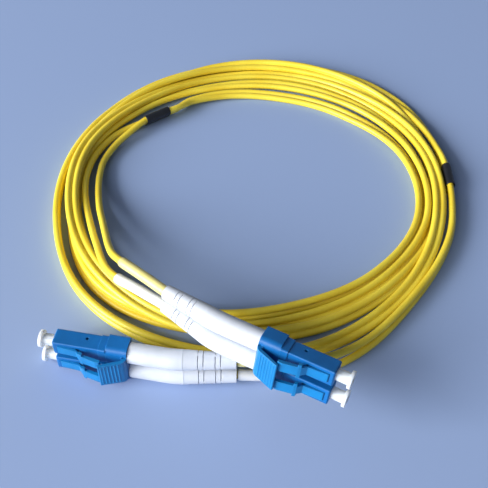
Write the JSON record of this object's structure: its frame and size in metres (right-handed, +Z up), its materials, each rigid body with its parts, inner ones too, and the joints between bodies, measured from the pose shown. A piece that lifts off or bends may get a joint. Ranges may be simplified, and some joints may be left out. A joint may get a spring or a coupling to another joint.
{
  "type": "fiber optic patch cord",
  "caption": "Coiled duplex fibre optic patch cord: twin latching plugs with dust caps, boots, marker sleeves and split bands at each end, joined by a yellow zip cord.",
  "frame": {"origin": "on the table plane, under the centre of the box round the two plug ends with their caps and boots", "axes": "+X to the right along the two plug ends, +Y from the plug ends toward the coil, +Z up"},
  "size_m": [0.1206, 0.1416, 0.023],
  "materials": {
    "blue_plastic": "smooth blue moulding",
    "light_blue_plastic": "smooth lighter blue moulding",
    "zirconia": "polished white ceramic",
    "nickel_brass": "nickel-plated brass",
    "spring_steel": "drawn spring wire",
    "white_boot": "soft white moulding",
    "white_cap": "translucent white moulding",
    "pale_sleeve": "translucent heat-shrink over yellow",
    "white_sleeve": "white heat-shrink",
    "yellow_jacket": "satin yellow cord jacket",
    "black_band": "black heat-shrink"
  },
  "bodies": {
    "cord_set": {"plug_a_1": "blue_plastic", "plug_a_2": "blue_plastic", "clip_a": "blue_plastic", "spring_a_1": "spring_steel", "back_body_a_1": "nickel_brass", "crimp_a_1": "nickel_brass", "boot_a_1": "white_boot", "spring_a_2": "spring_steel", "back_body_a_2": "nickel_brass", "crimp_a_2": "nickel_brass", "boot_a_2": "white_boot", "sleeve_pale_a": "pale_sleeve", "sleeve_white_a": "white_sleeve", "leg_a_1": "yellow_jacket", "leg_a_2": "yellow_jacket", "split_band_a": "black_band", "cord_lead_a": "yellow_jacket", "plug_b_1": "blue_plastic", "plug_b_2": "blue_plastic", "clip_b": "blue_plastic", "spring_b_1": "spring_steel", "back_body_b_1": "nickel_brass", "crimp_b_1": "nickel_brass", "boot_b_1": "white_boot", "spring_b_2": "spring_steel", "back_body_b_2": "nickel_brass", "crimp_b_2": "nickel_brass", "boot_b_2": "white_boot", "sleeve_pale_b": "pale_sleeve", "sleeve_white_b": "white_sleeve", "leg_b_1": "yellow_jacket", "leg_b_2": "yellow_jacket", "split_band_b": "black_band", "cord_lead_b": "yellow_jacket", "coil": "yellow_jacket"},
    "latch_a_1": {"latch_a_1": "light_blue_plastic"},
    "latch_a_2": {"latch_a_2": "light_blue_plastic"},
    "trigger_a": {"trigger_a": "blue_plastic"},
    "ferrule_a_1": {"ferrule_a_1": "zirconia", "ferrule_seat_a_1": "nickel_brass"},
    "cap_a_1": {"cap_a_1": "white_cap"},
    "ferrule_a_2": {"ferrule_a_2": "zirconia", "ferrule_seat_a_2": "nickel_brass"},
    "cap_a_2": {"cap_a_2": "white_cap"},
    "latch_b_1": {"latch_b_1": "light_blue_plastic"},
    "latch_b_2": {"latch_b_2": "light_blue_plastic"},
    "trigger_b": {"trigger_b": "blue_plastic"},
    "ferrule_b_1": {"ferrule_b_1": "zirconia", "ferrule_seat_b_1": "nickel_brass"},
    "cap_b_1": {"cap_b_1": "white_cap"},
    "ferrule_b_2": {"ferrule_b_2": "zirconia", "ferrule_seat_b_2": "nickel_brass"},
    "cap_b_2": {"cap_b_2": "white_cap"}
  },
  "joints": [
    {"name": "trigger_a_press", "type": "hinge", "parent": "cord_set", "child": "trigger_a", "pos_m": [0.01574, -0.00485, 0.01744], "axis": [0.1239, 0.1704, 0.9776], "range_deg": [0, 9], "stiffness_Nm_per_rad": 0.005},
    {"name": "latch_a_1_flex", "type": "hinge", "parent": "cord_set", "child": "latch_a_1", "pos_m": [0.03134, -0.01121, 0.01977], "axis": [0.1239, 0.1704, 0.9776], "range_deg": [-5, 0]},
    {"name": "ferrule_a_1_float", "type": "slide", "parent": "cord_set", "child": "ferrule_a_1", "axis": [-0.8928, 0.449, 0.0349], "range_m": [0, 0.001], "stiffness_N_per_m": 1500, "springref_m": -0.0025, "deforming": ["spring_a_1"]},
    {"name": "cap_a_1_pull", "type": "slide", "parent": "ferrule_a_1", "child": "cap_a_1", "axis": [0.8928, -0.449, -0.0349], "range_m": [0, 0.006]},
    {"name": "latch_a_2_flex", "type": "hinge", "parent": "cord_set", "child": "latch_a_2", "pos_m": [0.03057, -0.01227, 0.01366], "axis": [0.1239, 0.1704, 0.9776], "range_deg": [-5, 0]},
    {"name": "ferrule_a_2_float", "type": "slide", "parent": "cord_set", "child": "ferrule_a_2", "axis": [-0.8928, 0.449, 0.0349], "range_m": [0, 0.001], "stiffness_N_per_m": 1500, "springref_m": -0.0025, "deforming": ["spring_a_2"]},
    {"name": "cap_a_2_pull", "type": "slide", "parent": "ferrule_a_2", "child": "cap_a_2", "axis": [0.8928, -0.449, -0.0349], "range_m": [0, 0.006]},
    {"name": "trigger_b_press", "type": "hinge", "parent": "cord_set", "child": "trigger_b", "pos_m": [-0.01654, -0.00024, 0.00602], "axis": [0, 0, -1], "range_deg": [0, 9], "stiffness_Nm_per_rad": 0.005},
    {"name": "latch_b_1_flex", "type": "hinge", "parent": "cord_set", "child": "latch_b_1", "pos_m": [-0.0328, 0.0036, 0.0029], "axis": [0, 0, -1], "range_deg": [-5, 0]},
    {"name": "ferrule_b_1_float", "type": "slide", "parent": "cord_set", "child": "ferrule_b_1", "axis": [0.982, -0.1891, 0], "range_m": [0, 0.001], "stiffness_N_per_m": 1500, "springref_m": -0.0025, "deforming": ["spring_b_1"]},
    {"name": "cap_b_1_pull", "type": "slide", "parent": "ferrule_b_1", "child": "cap_b_1", "axis": [-0.982, 0.1891, 0], "range_m": [0, 0.006]},
    {"name": "latch_b_2_flex", "type": "hinge", "parent": "cord_set", "child": "latch_b_2", "pos_m": [-0.0328, 0.0036, 0.00915], "axis": [0, 0, -1], "range_deg": [-5, 0]},
    {"name": "ferrule_b_2_float", "type": "slide", "parent": "cord_set", "child": "ferrule_b_2", "axis": [0.982, -0.1891, 0], "range_m": [0, 0.001], "stiffness_N_per_m": 1500, "springref_m": -0.0025, "deforming": ["spring_b_2"]},
    {"name": "cap_b_2_pull", "type": "slide", "parent": "ferrule_b_2", "child": "cap_b_2", "axis": [-0.982, 0.1891, 0], "range_m": [0, 0.006]}
  ],
  "couplings": [
    {"joint": "latch_a_1_flex", "follows": "trigger_a_press", "ratio": -0.55},
    {"joint": "latch_a_2_flex", "follows": "trigger_a_press", "ratio": -0.55},
    {"joint": "latch_b_1_flex", "follows": "trigger_b_press", "ratio": -0.55},
    {"joint": "latch_b_2_flex", "follows": "trigger_b_press", "ratio": -0.55}
  ]
}
